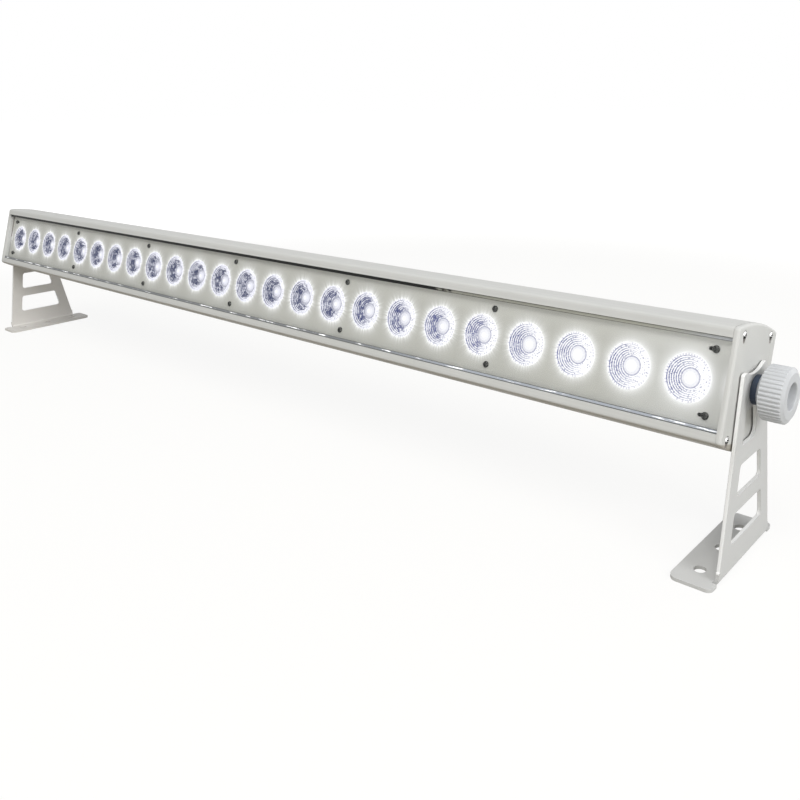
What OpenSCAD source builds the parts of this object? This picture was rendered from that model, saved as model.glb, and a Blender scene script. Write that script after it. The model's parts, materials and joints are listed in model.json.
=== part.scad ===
// Outdoor wall washer light: an extruded bar of LED optics that tilts between two foot brackets.
// +X runs along the bar, +Y to the rear, +Z up; the origin lies on the ground, midway between the feet.

/* [Light bar] */
// Length of the extrusion
bar_len = 996; // [900:1:1400]
// Length of the bar beyond the last LED board, at each end
end_margin = 6; // [4:0.5:20]
// From the pivot axis to the front face
front_depth = 31.5; // [29:0.1:40]
// From the pivot axis to the rear edges
rear_depth = 32.5; // [26:0.1:45]
// Height between the top and bottom crowns
bar_h = 80.6; // [74:0.2:100]
// Rise of the crowned top and bottom from the front corners
crown = 5.2; // [3.5:0.1:7]
// From the middle of the section back to the peak of its crowns
crown_shift = 3.5; // [0:0.1:6]
// Radius of the front corners
front_corner_r = 3; // [1.5:0.1:4]
// Radius of the rear corners
rear_corner_r = 1.4; // [0.8:0.1:2]
// Wall of the extrusion at the top and bottom
wall = 2.2; // [1.5:0.1:3]
// Thickness of the lips that frame the cover glass
lip_t = 2; // [1.5:0.1:3]
// Height of each lip below the corner of the section
lip_h = 6.3; // [5:0.1:7]
// Thickness of the web that carries the LED boards
web_t = 2.4; // [1.6:0.1:4]
// Width of a screw rail beside the optics
rail_w = 6.4; // [5:0.1:7]
// Gap between a lens flange and a screw rail
rail_gap = 0.8; // [0.4:0.1:2]
// Thickness of the rear wall
rear_wall_t = 2.4; // [1.6:0.1:4]
// Angle by which the light looks up
tilt = 17; // [0:1:20]

/* [Optics] */
// Number of LED boards in the row
board_count = 4; // [1:1:4]
// LEDs, and so lenses, on each board
board_leds = 6; // [2:1:6]
// Diameter of a lens face
lens_d = 30.6; // [20:0.2:34]
// Width of the flange that holds a lens behind the lens plate
lens_flange = 1; // [0.6:0.1:1.6]
// Thickness of that flange
lens_flange_t = 1.4; // [1:0.1:3]
// Height of a lens from its board to the back of the lens plate
optic_h = 12.9; // [10:0.1:16]
// How far a lens face stands proud of the lens plate
lens_proud = 0.3; // [0:0.1:0.8]
// Width of the plain rim around a lens face
lens_rim_w = 1.1; // [0.6:0.1:2]
// Number of terraces that lead down from the rim to the core
lens_steps = 5; // [3:1:7]
// Height of one terrace
lens_step_h = 0.75; // [0.4:0.05:0.9]
// Diameter of the core in the middle of a lens
lens_core_d = 11.4; // [8:0.2:14]
// Width of the groove around the core
lens_groove_w = 0.7; // [0.4:0.1:1.2]
// Diameter of the foot ring on which a lens stands
lens_foot_d = 13; // [10:0.5:18]
// Thickness of an LED board
board_t = 1.6; // [1:0.1:2.4]
// Side of the square LED package
chip_w = 5; // [3:0.1:6]
// Thickness of the LED package without its dome
chip_t = 0.9; // [0.5:0.1:1.5]

/* [Cooling fins] */
// Height of the fins on the rear
fin_h = 7.1; // [4:0.1:9]
// Thickness of a fin
fin_t = 1.8; // [1.2:0.1:3]
// Distance between fins
fin_pitch = 4.7; // [4:0.1:8]
// Width of the flat land between the two banks of fins
land_w = 19; // [19:0.5:24]

/* [Glass and lens plate] */
// Thickness of the cover glass
glass_t = 2.2; // [2:0.1:3]
// Depth by which the glass enters its grooves
glass_bite = 2.6; // [1.8:0.1:2.8]
// Thickness of the seal between glass and lips
seal_t = 0.6; // [0.4:0.1:1.2]
// Width of the seal that shows inside the lips
seal_show = 2.5; // [1.5:0.1:3.5]
// Air gap between the glass and the lens plate
plate_gap = 1.7; // [1.7:0.1:3]
// Thickness of the lens plate
plate_t = 1.5; // [1:0.1:2.5]
// Depth by which the lens plate passes behind the seals
plate_bite = 2.2; // [1:0.1:2.4]
// Distance between the middle screws of the lens plate
plate_screw_pitch = 158.5; // [100:0.5:180]
// From an end screw of the lens plate to the end of the extrusion
plate_screw_end = 11.3; // [9:0.1:14]
// Length of the slots under those end screws
plate_slot_len = 6.4; // [4:0.1:7]

/* [End caps] */
// Thickness of an end cap
cap_t = 3.2; // [3:0.1:6]
// Radius around the outer edge of an end cap
cap_edge_r = 1.8; // [1:0.1:2.8]
// Thickness of the gasket under an end cap
gasket_t = 0.6; // [0.4:0.1:1.5]
// Distance of the front screw ports from the front face
front_port_inset = 8.6; // [8:0.1:9.6]
// Distance of the front screw ports below the crown above them
front_port_drop = 5.8; // [5:0.1:6]
// Distance of the rear screw ports from the rear edges
rear_port_inset = 10.5; // [9.8:0.1:12]
// Distance of the rear screw ports below the crown above them
rear_port_drop = 5; // [4.8:0.1:6]
// Radius of the screw port bosses
port_r = 3.4; // [2.8:0.1:3.8]
// How far the cap screws stand proud of the end cap
cap_screw_proud = 0.6; // [0:0.1:0.6]
// Length of the pockets that run down from the cap screws
pocket_drop = 3.9; // [3:0.1:7]

/* [Pivots and knobs] */
// Height of the pivot axis above the ground
pivot_h = 116; // [95:0.5:200]
// Diameter of the pivot studs
stud_d = 8; // [6:0.5:10]
// Diameter of a stud's head inside the end cap
stud_head_d = 12; // [11:0.5:13]
// Thickness of that head
stud_head_t = 3; // [2:0.1:4]
// Length of a stud inside its knob
stud_reach = 10.5; // [8:0.1:12]
// Diameter of the slip washer between end cap and bracket
slip_d = 18; // [14:0.5:24]
// Thickness of the slip washer
slip_t = 0.9; // [0.9:0.1:1.5]
// Diameter of the rubber washer under a knob
pad_d = 18.8; // [16:0.2:24]
// Thickness of the rubber washer
pad_t = 4.4; // [2:0.1:8]
// Diameter of a knob over its knurl
knob_d = 34.8; // [28:0.2:45]
// Length of a knob
knob_len = 18.4; // [18:0.2:30]
// Number of grooves around a knob
knurl_count = 40; // [24:1:60]
// Length of the taper from the rubber washer to the knurl
taper_len = 3.8; // [2:0.1:5]
// Diameter of a knob where it meets the rubber washer
taper_d = 20.8; // [18:0.2:26]
// Length of the bevel around the face of a knob
bevel_len = 1.6; // [1:0.1:2.4]
// Width of that bevel
bevel_w = 2.7; // [1:0.1:3]
// Diameter of the blind hole in the face of a knob
hub_hole_d = 17; // [10:0.5:22]
// Depth of that blind hole
hub_hole_depth = 5.5; // [3:0.1:6]
// Diameter of the threaded insert
insert_d = 13; // [12:0.2:15]
// Length of the threaded insert
insert_len = 9.5; // [6:0.1:11]

/* [Brackets] */
// Thickness of the bracket sheet
sheet_t = 2.5; // [2:0.1:3]
// Width of an upright at the ground
upright_base_w = 81; // [70:0.5:88]
// Width of an upright at the height of its pivot
upright_pivot_w = 40.2; // [36:0.2:50]
// Height of the upright above its pivot
upright_top = 13.8; // [13:0.1:20]
// Radius of the scoop in the top edge
scoop_r = 30; // [20:0.5:60]
// Depth of that scoop
scoop_depth = 3.1; // [1:0.1:3.4]
// Width of the rails beside the windows
window_rail = 12; // [9:0.1:13]
// Radius of the window corners
window_r = 3; // [1:0.1:4]
// Height of the lowest window above the ground
window_z = 20.8; // [14:0.1:24]
// Height of the two lower windows
window_h = 20.2; // [14:0.1:22]
// Height of the rung between them
rung_h = 10.4; // [8:0.1:14]
// Height of the upper rung
upper_rung_h = 12.6; // [8:0.1:14]
// Gap between the upper window and the rubber washer
window_pad_gap = 0.8; // [0.5:0.1:4]
// Width of the front rail beside the upper window
upper_front_rail = 10.2; // [8:0.1:12]
// Width of the rear rail beside the upper window
upper_rear_rail = 18.2; // [10:0.1:20]
// Radius of the lower rear corner of the upper window
upper_window_r = 6; // [2:0.1:7]
// Length of a foot
foot_len = 99.6; // [96:0.2:130]
// Width of a foot
foot_w = 29.7; // [27:0.1:40]
// Radius of the inner corners of a foot
foot_r = 6; // [2:0.1:8]
// Inner radius of the bend
bend_r = 2; // [1:0.1:4]
// Diameter of the holes in a foot
foot_hole_d = 8; // [4:0.1:9]
// Distance between the holes in a foot
foot_hole_pitch = 31.8; // [24:0.1:36]
// From the outer face of a bracket to its foot holes
foot_hole_inset = 16; // [12:0.1:18]

/* [Cable glands and driver] */
// From a cable gland to the end of the extrusion
gland_end = 68; // [50:1:100]
// Width across flats of a cable gland
gland_af = 16; // [12:0.5:16]
// Diameter of a cable gland's thread
gland_thread_d = 12; // [10:0.5:12]
// Height of a gland nut
gland_nut_h = 9; // [6:0.5:12]
// Diameter of the cable hole
cable_hole_d = 6.6; // [5:0.1:7]
// Length of the driver
driver_len = 360; // [180:5:480]
// Height of the driver
driver_h = 46; // [30:1:50]
// Distance of the breather plug from the cable gland beside it
vent_offset = 40; // [20:1:100]

/* [Hidden] */
// Clearances: running fits, drop-in fits and the gap that keeps parts from rubbing
run_gap = 0.08;
fit_gap = 0.05;
side_gap = 0.4;
air_gap = 1;
eps = 0.01;
$fn = 64;
crown_fn = 180;
cap_fn = 120;

led_count = board_count * board_leds;
led_pitch = (bar_len - 2 * end_margin) / led_count;
board_len = board_leds * led_pitch - air_gap;
half_len = bar_len / 2;

// Depths through the bar, from front to rear
seal_y = lip_t - front_depth;
glass_y = seal_y + seal_t;
glass_back_y = glass_y + glass_t;
plate_y = glass_back_y + plate_gap;
rail_y = plate_y + plate_t;
board_y = rail_y + optic_h;
web_y = board_y + board_t;
bay_y = web_y + web_t;
land_y = rear_depth - fin_h;
bay_end_y = land_y - rear_wall_t;

// The section and its crowns
half_h = bar_h / 2;
half_depth = (front_depth + rear_depth) / 2;
crown_y = (rear_depth - front_depth) / 2 + crown_shift;
crown_reach = half_depth + crown_shift;
crown_r = (crown_reach * crown_reach + crown * crown) / (2 * crown);
crown_z = half_h - crown_r;
function crown_height(y) = crown_z + sqrt(crown_r * crown_r - pow(y - crown_y, 2));

// Heights across the face
opening_z = half_h - crown - lip_h;
glass_z = opening_z + glass_bite;
seal_low_z = opening_z - seal_show;
plate_z = seal_low_z + plate_bite;
lens_r = lens_d / 2;
flange_r = lens_r + lens_flange;
rail_z = flange_r + rail_gap + rail_w / 2;
board_h = 2 * (flange_r + rail_gap - side_gap);
port_ys = [front_port_inset - front_depth, rear_depth - rear_port_inset];
function port_drop(y) = y < 0 ? front_port_drop : rear_port_drop;
function port_z(y) = crown_height(y) - port_drop(y);

// Screws: [head radius, head height, shank radius, shank length]
cap_screw = [2.5, 2.8, 1.4, 12];
plate_screw = [2.4, 1.4, 1.2, 9];
board_screw = [2.5, 1.6, 1.2, board_t + web_t - 0.4];
driver_tab_t = 2.4;
driver_screw = [2.8, 1.8, 1.4, driver_tab_t + web_t - 0.6];
screw_gap = 0.1;
board_screw_step = 2;
rail_slot_depth = 10.5;

// Places along X
cap_x = half_len + gasket_t;
cap_out_x = cap_x + cap_t;
sheet_in_x = cap_out_x + slip_t;
sheet_out_x = sheet_in_x + sheet_t;
knob_x = sheet_out_x + pad_t;
plate_len = bar_len - 2 * air_gap;
plate_screw_x = half_len - plate_screw_end;
plate_mid_count = floor((plate_screw_x - plate_screw_pitch / 4) / plate_screw_pitch);
plate_mid_xs = [for (i = [-plate_mid_count:plate_mid_count]) i * plate_screw_pitch];
slot_shift = (plate_slot_len - 2 * plate_screw[2]) / 2 - screw_gap;

// Fins fill each side between the land and the corner
fin_top_z = crown_height(rear_depth) - wall;
fin_room = fin_top_z - land_w / 2;
fin_count = round(fin_room / fin_pitch - 0.2);
stud_r = stud_d / 2;
knob_r = knob_d / 2;
knob_edge = 0.4;
knurl_r = 0.95;
pocket_depth = cap_screw[1] - cap_screw_proud;
head_pocket_r = cap_screw[0] + side_gap / 2;
head_pocket_tip_r = 1.4;

// The brackets: their bend, their top, and the ears beside the slot in the foot
bend_out_r = bend_r + sheet_t;
bend_x = sheet_out_x - bend_out_r;
bend_lap = 2;
top_z = pivot_h + upright_top;
horn_r = 2;
ear_in = 0.6;
ear_r = 4;
relief = 0.8;
window_top_z = pivot_h - pad_d / 2 - window_pad_gap;
driver_depth = bay_end_y - bay_y - 2 * air_gap;
driver_tab = 14;
gland_flange_h = 3.5;
gland_thread_h = 6;
gland_seal_len = 3.5;
locknut_h = 3;
vent_d = 13;
vent_h = 4;
vent_thread_d = 8;
vent_slots = 8;
vent_slot_w = 1;

board_xs = [for (i = [0:board_count - 1]) (i - (board_count - 1) / 2) * board_leds * led_pitch];
led_xs = [for (i = [0:led_count - 1]) (i - (led_count - 1) / 2) * led_pitch];

function lens_name(i) = str("lens_", i < 9 ? "0" : "", i + 1);
function board_name(i) = str("led_board_", i + 1);

// ---- helpers

function unit(v) = v / norm(v);

// Points of an arc that rounds the corner b between a and c
function corner_arc(a, b, c, r, n) =
    let (u = unit(a - b), w = unit(c - b), half = acos(u * w) / 2,
         mid = b + unit(u + w) * r / sin(half),
         p = b + u * r / tan(half) - mid, q = b + w * r / tan(half) - mid,
         start = atan2(p[1], p[0]), turn = (atan2(q[1], q[0]) - start + 540) % 360 - 180)
    [for (i = [0:n]) mid + r * [cos(start + turn * i / n), sin(start + turn * i / n)]];

// A polygon with each corner rounded by its own radius
function rounded(pts, radii, n = 8) =
    [for (i = [0:len(pts) - 1])
        each corner_arc(pts[(i + len(pts) - 1) % len(pts)], pts[i], pts[(i + 1) % len(pts)],
                        radii[i], n)];

// Puts the bar's own frame, with the pivot axis as X, at its height and tilt
module in_bar() {
    translate([0, 0, pivot_h]) rotate([-tilt, 0, 0]) children();
}

// Extrudes a section drawn in (Y, Z) along X from x0 over length l
module along_x(x0, l) {
    translate([x0, 0, 0]) rotate([90, 0, 90]) linear_extrude(l) children();
}

// A cylinder along +X that starts at x0
module rod_x(x0, l, r) {
    translate([x0, 0, 0]) rotate([0, 90, 0]) cylinder(h = l, r = r);
}

// Children stay at the right-hand end, or are mirrored to the left
module at_end(side) {
    if (side > 0) children();
    else mirror([1, 0, 0]) children();
}

// Children stand on a surface at y and point to the front, or to the rear
module facing_front(x, y, z) {
    translate([x, y, z]) rotate([90, 0, 0]) children();
}

module facing_rear(x, y, z) {
    translate([x, y, z]) rotate([-90, 0, 0]) children();
}

// Pan head screw with a cross recess; the head stands on z = 0 and the shank goes down
module pan_screw(screw) {
    head_r = screw[0];
    head_h = screw[1];
    edge_h = head_h * 0.35;
    flat_r = head_r * 0.45;
    cross_len = head_r * 1.24;
    cross_w = head_r * 0.34;
    difference() {
        union() {
            rotate_extrude() polygon(concat(
                [[0, 0], [head_r, 0]],
                [for (a = [0:15:90]) [flat_r + (head_r - flat_r) * cos(a),
                                      edge_h + (head_h - edge_h) * sin(a)]],
                [[0, head_h]]));
            translate([0, 0, -screw[3]]) cylinder(h = screw[3] + eps, r = screw[2]);
        }
        for (a = [0, 90]) rotate(a)
            translate([-cross_len / 2, -cross_w / 2, edge_h]) cube([cross_len, cross_w, head_h]);
    }
}

// ---- housing extrusion

// Cuts the corner of the section to a radius
module corner_cut(side, r, inset) {
    round_r = r - inset;
    centre_y = half_depth - side * crown_shift - r;
    centre_z = crown_z + sqrt(pow(crown_r - r, 2) - centre_y * centre_y);
    start_y = centre_y * crown_r / (crown_r - r);
    if (round_r > 0) translate([crown_y, 0]) scale([side, 1]) difference() {
        translate([start_y, centre_z]) square([r + air_gap, r + crown]);
        translate([centre_y, centre_z]) circle(round_r, $fn = 48);
    }
}

// Outline of the bar, crowned at the top and bottom, brought in all round by inset
module section(inset = 0, fn = crown_fn) {
    difference() {
        intersection() {
            translate([inset - front_depth, -half_h]) square([2 * (half_depth - inset), bar_h]);
            translate([crown_y, crown_z]) circle(crown_r - inset, $fn = fn);
            translate([crown_y, -crown_z]) circle(crown_r - inset, $fn = fn);
        }
        for (flip = [1, -1]) scale([1, flip]) {
            corner_cut(-1, front_corner_r, inset);
            corner_cut(1, rear_corner_r, inset);
        }
    }
}

// A band of the section between two depths
module slab(y0, y1, half_z) {
    translate([y0, -half_z]) square([y1 - y0, 2 * half_z]);
}

module screw_ports() {
    for (y = port_ys, s = [-1, 1]) translate([y, s * port_z(y)]) {
        circle(port_r);
        translate([-port_r / 2, s > 0 ? 0 : -port_drop(y)]) square([port_r, port_drop(y)]);
    }
}

module screw_rails() {
    for (s = [-1, 1]) translate([rail_y, s * rail_z - rail_w / 2])
        square([web_y - rail_y, rail_w]);
}

module housing_section() {
    difference() {
        union() {
            difference() {
                section();
                intersection() { section(wall); slab(rail_y, web_y, half_h); }
                intersection() { section(wall); slab(bay_y, bay_end_y, half_h); }
            }
            intersection() {
                section(wall / 2);
                union() { screw_ports(); screw_rails(); }
            }
        }
        slab(-front_depth - air_gap, seal_y + eps, opening_z);
        slab(seal_y, glass_back_y, glass_z + side_gap);
        slab(glass_back_y - eps, rail_y, plate_z + side_gap);
        for (y = port_ys, s = [-1, 1]) translate([y, s * port_z(y)]) circle(cap_screw[2] + screw_gap);
        for (s = [-1, 1]) translate([rail_y - eps, s * rail_z - plate_screw[2] - screw_gap])
            square([rail_slot_depth, 2 * (plate_screw[2] + screw_gap)]);
        fin_gaps();
    }
}

// The gaps between the cooling fins, and the wide one over the land
module fin_gaps() {
    first = land_w / 2 + fin_t;
    translate([land_y, -land_w / 2]) square([fin_h + air_gap, land_w]);
    for (s = [-1, 1], i = [0:fin_count - 1]) {
        low = first + i * fin_pitch;
        high = i < fin_count - 1 ? low + fin_pitch - fin_t : fin_top_z;
        translate([land_y, s > 0 ? low : -high]) square([fin_h + air_gap, high - low]);
    }
}

board_screw_xs = [for (x = board_xs, i = [1:board_screw_step:board_leds - 1])
    x + (i - board_leds / 2) * led_pitch];
driver_screw_xs = [for (s = [-1, 1]) s * (driver_len + driver_tab) / 2];
driver_screw_zs = [for (s = [-1, 1]) s * driver_h / 4];
gland_x = half_len - gland_end;
gland_xs = [-gland_x, gland_x];
vent_x = gland_x - vent_offset;

module housing() {
    color("gainsboro") in_bar() difference() {
        along_x(-half_len, bar_len) housing_section();
        for (x = board_screw_xs) facing_front(x, bay_y + eps, 0)
            cylinder(h = web_t + 2 * eps, r = board_screw[2] + screw_gap);
        for (x = driver_screw_xs, z = driver_screw_zs) facing_front(x, bay_y + eps, z)
            cylinder(h = web_t + 2 * eps, r = driver_screw[2] + screw_gap);
        for (x = gland_xs) facing_rear(x, bay_end_y - eps, 0)
            cylinder(h = rear_wall_t + 2 * eps, r = thread_r + fit_gap);
        facing_rear(vent_x, bay_end_y - eps, 0)
            cylinder(h = rear_wall_t + 2 * eps, r = vent_thread_d / 2 + fit_gap);
        for (s = [-1, 1]) at_end(s)
            rod_x(half_len - stud_head_t - air_gap, stud_head_t + 2 * air_gap,
                  stud_head_d / 2 + side_gap);
    }
}

// ---- glass, lens plate and optics

module cover_glass() {
    color("lightcyan", 0.4) in_bar()
        translate([-half_len + side_gap, glass_y, -glass_z])
            cube([bar_len - 2 * side_gap, glass_t, 2 * glass_z]);
}

module glass_seals() {
    color("dimgray") in_bar() for (s = [-1, 1])
        translate([-half_len + side_gap, seal_y, s > 0 ? seal_low_z : -glass_z])
            cube([bar_len - 2 * side_gap, seal_t, glass_bite + seal_show]);
}

module lens_plate() {
    color("ivory") in_bar() difference() {
        translate([-plate_len / 2, plate_y, -plate_z]) cube([plate_len, plate_t, 2 * plate_z]);
        for (x = led_xs) facing_front(x, rail_y + eps, 0)
            cylinder(h = plate_t + 2 * eps, r = lens_r + side_gap / 2);
        for (s = [-1, 1]) {
            for (x = plate_mid_xs) facing_front(x, rail_y + eps, s * rail_z)
                cylinder(h = plate_t + 2 * eps, r = plate_screw[2] + screw_gap);
            for (e = [-1, 1]) plate_slot(e * (plate_screw_x - slot_shift), s * rail_z);
        }
    }
}

// Slot with round ends through the lens plate
module plate_slot(x, z) {
    slot_r = plate_screw[2] + screw_gap;
    straight = plate_slot_len - 2 * slot_r;
    facing_front(x, rail_y + eps, z) {
        for (s = [-1, 1]) translate([s * straight / 2, 0, 0])
            cylinder(h = plate_t + 2 * eps, r = slot_r);
        translate([-straight / 2, -slot_r, 0]) cube([straight, 2 * slot_r, plate_t + 2 * eps]);
    }
}

module lens_plate_screws() {
    color("silver") in_bar()
        for (x = concat(plate_mid_xs, [-plate_screw_x, plate_screw_x]), s = [-1, 1])
            facing_front(x, plate_y, s * rail_z) pan_screw(plate_screw);
}

// Half profile of a lens: foot ring, flared reflector wall, flange, rim, terraces down to the
// domed core, and the pocket over the LED
lens_top = optic_h + plate_t + lens_proud;
lens_foot_h = 1.2;
lens_core_r = lens_core_d / 2;
lens_well_r = lens_core_r + lens_groove_w;
lens_well_z = lens_top - lens_steps * lens_step_h;
lens_groove_h = 0.4;
lens_dome_h = 0.5;
lens_step_w = (lens_r - lens_rim_w - lens_well_r) / lens_steps;
lens_wall_top = optic_h - lens_flange_t;
lens_wall_r = lens_r - 0.4;
pocket_r = chip_w / sqrt(2) + 0.6;
pocket_h = optic_h * 0.45;
pocket_dome = 0.8;
function lens_wall(t) = [lens_foot_d / 2 + (lens_wall_r - lens_foot_d / 2) * pow(t, 0.75),
                         lens_foot_h + (lens_wall_top - lens_foot_h) * t];

module lens(x) {
    color("aliceblue", 0.6) in_bar() facing_front(x, board_y, 0) rotate_extrude()
        polygon(concat(
            [[pocket_r, 0], [lens_foot_d / 2, 0]],
            [for (t = [0:0.2:1]) lens_wall(t)],
            [[flange_r, lens_wall_top], [flange_r, optic_h], [lens_r, optic_h], [lens_r, lens_top]],
            [for (i = [0:lens_steps - 1], h = [i, i + 1])
                [lens_r - lens_rim_w - i * lens_step_w, lens_top - h * lens_step_h]],
            [[lens_well_r, lens_well_z], [lens_well_r, lens_well_z - lens_groove_h],
             [lens_core_r, lens_well_z - lens_groove_h]],
            [for (a = [0:15:90]) [lens_core_r * cos(a), lens_well_z + lens_dome_h * sin(a)]],
            [for (a = [90:-30:0]) [pocket_r * cos(a), pocket_h + pocket_dome * (sin(a) - 1)]]));
}

module led_board(i) {
    color("whitesmoke") in_bar() difference() {
        translate([board_xs[i] - board_len / 2, board_y, -board_h / 2])
            cube([board_len, board_t, board_h]);
        for (x = board_screw_xs) facing_front(x, web_y + eps, 0)
            cylinder(h = board_t + 2 * eps, r = board_screw[2] + screw_gap);
    }
}

module led_chips() {
    dome_r = chip_w * 0.36;
    color("gold") in_bar() for (x = led_xs) facing_front(x, board_y, 0) {
        translate([-chip_w / 2, -chip_w / 2, 0]) cube([chip_w, chip_w, chip_t]);
        translate([0, 0, chip_t]) rotate_extrude()
            polygon(concat([[0, -eps]], [for (a = [0:15:90]) dome_r * [cos(a), sin(a)]]));
    }
}

module board_screws() {
    color("silver") in_bar() for (x = board_screw_xs)
        facing_front(x, board_y, 0) pan_screw(board_screw);
}

// ---- end caps

module end_cap(side) {
    slice_t = 0.1;
    color("gainsboro") in_bar() at_end(side) difference() {
        hull() {
            along_x(cap_x, slice_t) section(0, cap_fn);
            for (a = [0:22.5:90])
                along_x(cap_out_x - cap_edge_r * (1 - sin(a)) - slice_t, slice_t)
                    section(cap_edge_r * (1 - cos(a)), cap_fn);
        }
        rod_x(cap_x - air_gap, cap_t + 2 * air_gap, stud_r + fit_gap);
        for (y = port_ys, s = [-1, 1]) translate([0, y, s * port_z(y)]) {
            rod_x(cap_x - air_gap, cap_t + 2 * air_gap, cap_screw[2] + screw_gap);
            head_pocket();
        }
    }
}

// Outline of a drop: an arc of radius r, and one of radius tip_r that lies below it by drop
function drop_outline(r, tip_r, drop) =
    let (lean = asin((r - tip_r) / drop), step = 12)
    concat([for (i = [0:step]) let (a = (180 + 2 * lean) * i / step - lean) r * [cos(a), sin(a)]],
           [for (i = [0:step]) let (a = (180 - 2 * lean) * i / step + lean)
               [-tip_r * cos(a), -tip_r * sin(a) - drop]]);

// Pocket for a screw head, drawn out downwards to a narrow round end
module head_pocket() {
    along_x(cap_out_x - pocket_depth, pocket_depth + air_gap)
        polygon(drop_outline(head_pocket_r, head_pocket_tip_r, pocket_drop));
}

module end_gasket(side) {
    rim = wall + port_r;
    color("dimgray") in_bar() at_end(side) difference() {
        along_x(half_len, gasket_t) {
            difference() {
                section(side_gap);
                section(rim);
            }
            for (y = port_ys, s = [-1, 1]) translate([y, s * port_z(y)]) circle(port_r);
        }
        for (y = port_ys, s = [-1, 1]) translate([0, y, s * port_z(y)])
            rod_x(half_len - air_gap, gasket_t + 2 * air_gap, cap_screw[2] + screw_gap);
    }
}

module end_cap_screws(side) {
    color("silver") in_bar() at_end(side) for (y = port_ys, s = [-1, 1])
        translate([cap_out_x - pocket_depth, y, s * port_z(y)]) rotate([0, 90, 0])
            pan_screw(cap_screw);
}

// ---- pivots and knobs, drawn on the pivot axis at the right-hand end

module at_pivot(side) {
    at_end(side) translate([0, 0, pivot_h]) children();
}

module pivot_stud(side) {
    tip_x = knob_x + stud_reach;
    color("silver") at_pivot(side) {
        rod_x(cap_x - stud_head_t, stud_head_t, stud_head_d / 2);
        rod_x(cap_x - eps, tip_x - cap_x - air_gap, stud_r);
        translate([tip_x - air_gap - 2 * eps, 0, 0]) rotate([0, 90, 0]) rotate_extrude()
            polygon([[0, 0], [stud_r, 0], [stud_r - air_gap, air_gap], [0, air_gap]]);
    }
}

// Flat ring on the pivot axis
module ring_x(x0, l, outer_r, inner_r) {
    along_x(x0, l) difference() {
        circle(outer_r);
        circle(inner_r);
    }
}

module slip_washer(side) {
    color("ivory") at_pivot(side) ring_x(cap_out_x, slip_t, slip_d / 2, stud_r + run_gap);
}

module rubber_washer(side) {
    color("midnightblue") at_pivot(side)
        ring_x(sheet_out_x, pad_t, pad_d / 2, stud_r + run_gap);
}

// Half profile of a knob without its knurl: taper, core, bevel and blind hole
module knob_body() {
    hole_r = hub_hole_d / 2;
    floor_x = knob_len - hub_hole_depth;
    bore_r = insert_d / 2 + fit_gap;
    bore_end = stud_reach + side_gap;
    rotate_extrude() polygon(
        [[bore_r, 0], [taper_d / 2, 0], [knob_r - knob_edge, taper_len - knob_edge],
         [knob_r, taper_len + knob_edge], [knob_r, knob_len - bevel_len - knob_edge],
         [knob_r - knob_edge, knob_len - bevel_len], [knob_r - bevel_w, knob_len - knob_edge],
         [knob_r - bevel_w - knob_edge, knob_len], [hole_r + knob_edge, knob_len],
         [hole_r, knob_len - knob_edge], [hole_r - knob_edge, floor_x + knob_edge],
         [hole_r - 2 * knob_edge, floor_x], [0, floor_x], [0, bore_end], [stud_r + run_gap, bore_end],
         [stud_r + run_gap, insert_len + fit_gap], [bore_r, insert_len + fit_gap]]);
}

module knob(side) {
    color("whitesmoke") at_pivot(side) translate([knob_x, 0, 0]) rotate([0, 90, 0]) difference() {
        knob_body();
        for (i = [0:knurl_count - 1]) rotate(i * 360 / knurl_count)
            translate([knob_r + knurl_r * 0.2, 0, -air_gap])
                cylinder(h = knob_len + 2 * air_gap, r = knurl_r, $fn = 24);
    }
}

module knob_insert(side) {
    groove = 1;
    color("goldenrod") at_pivot(side) translate([knob_x, 0, 0]) rotate([0, 90, 0])
        rotate_extrude() polygon([
            [stud_r + run_gap, 0], [insert_d / 2, 0], [insert_d / 2, insert_len * 0.4],
            [insert_d / 2 - groove, insert_len * 0.4], [insert_d / 2 - groove, insert_len * 0.6],
            [insert_d / 2, insert_len * 0.6], [insert_d / 2, insert_len],
            [stud_r + run_gap, insert_len]]);
}

// ---- foot brackets

function upright_half(z) = upright_base_w / 2 - (upright_base_w - upright_pivot_w) / 2 * z / pivot_h;

// A window that follows the taper of the upright, between rails of widths f and b
function window_outline(z0, z1, f, b, radii) = rounded(
    [[f - upright_half(z0), z0], [upright_half(z0) - b, z0],
     [upright_half(z1) - b, z1], [f - upright_half(z1), z1]], radii);

window_steps = [window_z, window_z + window_h + rung_h];
upper_window_z = window_z + 2 * window_h + rung_h + upper_rung_h;

// The upright from the side; below the bend it keeps its width down to the ground
module upright_outline() {
    foot_half = upright_half(bend_out_r);
    difference() {
        union() {
            polygon(rounded(
                [[-foot_half, bend_out_r], [foot_half, bend_out_r],
                 [upright_half(top_z), top_z], [-upright_half(top_z), top_z]],
                [eps, eps, horn_r, horn_r]));
            translate([-foot_half, 0]) square([2 * foot_half, 2 * bend_out_r]);
        }
        translate([0, top_z - scoop_depth + scoop_r]) circle(scoop_r, $fn = 96);
        for (z = window_steps) polygon(window_outline(
            z, z + window_h, window_rail, window_rail, [window_r, window_r, window_r, window_r]));
        polygon(window_outline(upper_window_z, window_top_z, upper_front_rail, upper_rear_rail,
                               [1, upper_window_r, window_r, 1]));
        translate([0, pivot_h]) circle(stud_r + run_gap);
    }
}

module foot_outline() {
    inner_x = sheet_out_x - foot_w;
    ear_x = sheet_out_x - ear_in;
    slot_half = upright_half(0) + relief;
    difference() {
        polygon(rounded(
            [[inner_x, -foot_len / 2], [ear_x, -foot_len / 2],
             [ear_x, foot_len / 2], [inner_x, foot_len / 2]],
            [foot_r, ear_r, ear_r, foot_r]));
        translate([bend_x, -slot_half]) square([foot_w, 2 * slot_half]);
        for (i = [-1:1]) translate([sheet_out_x - foot_hole_inset, i * foot_hole_pitch])
            circle(foot_hole_d / 2);
    }
}

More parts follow.
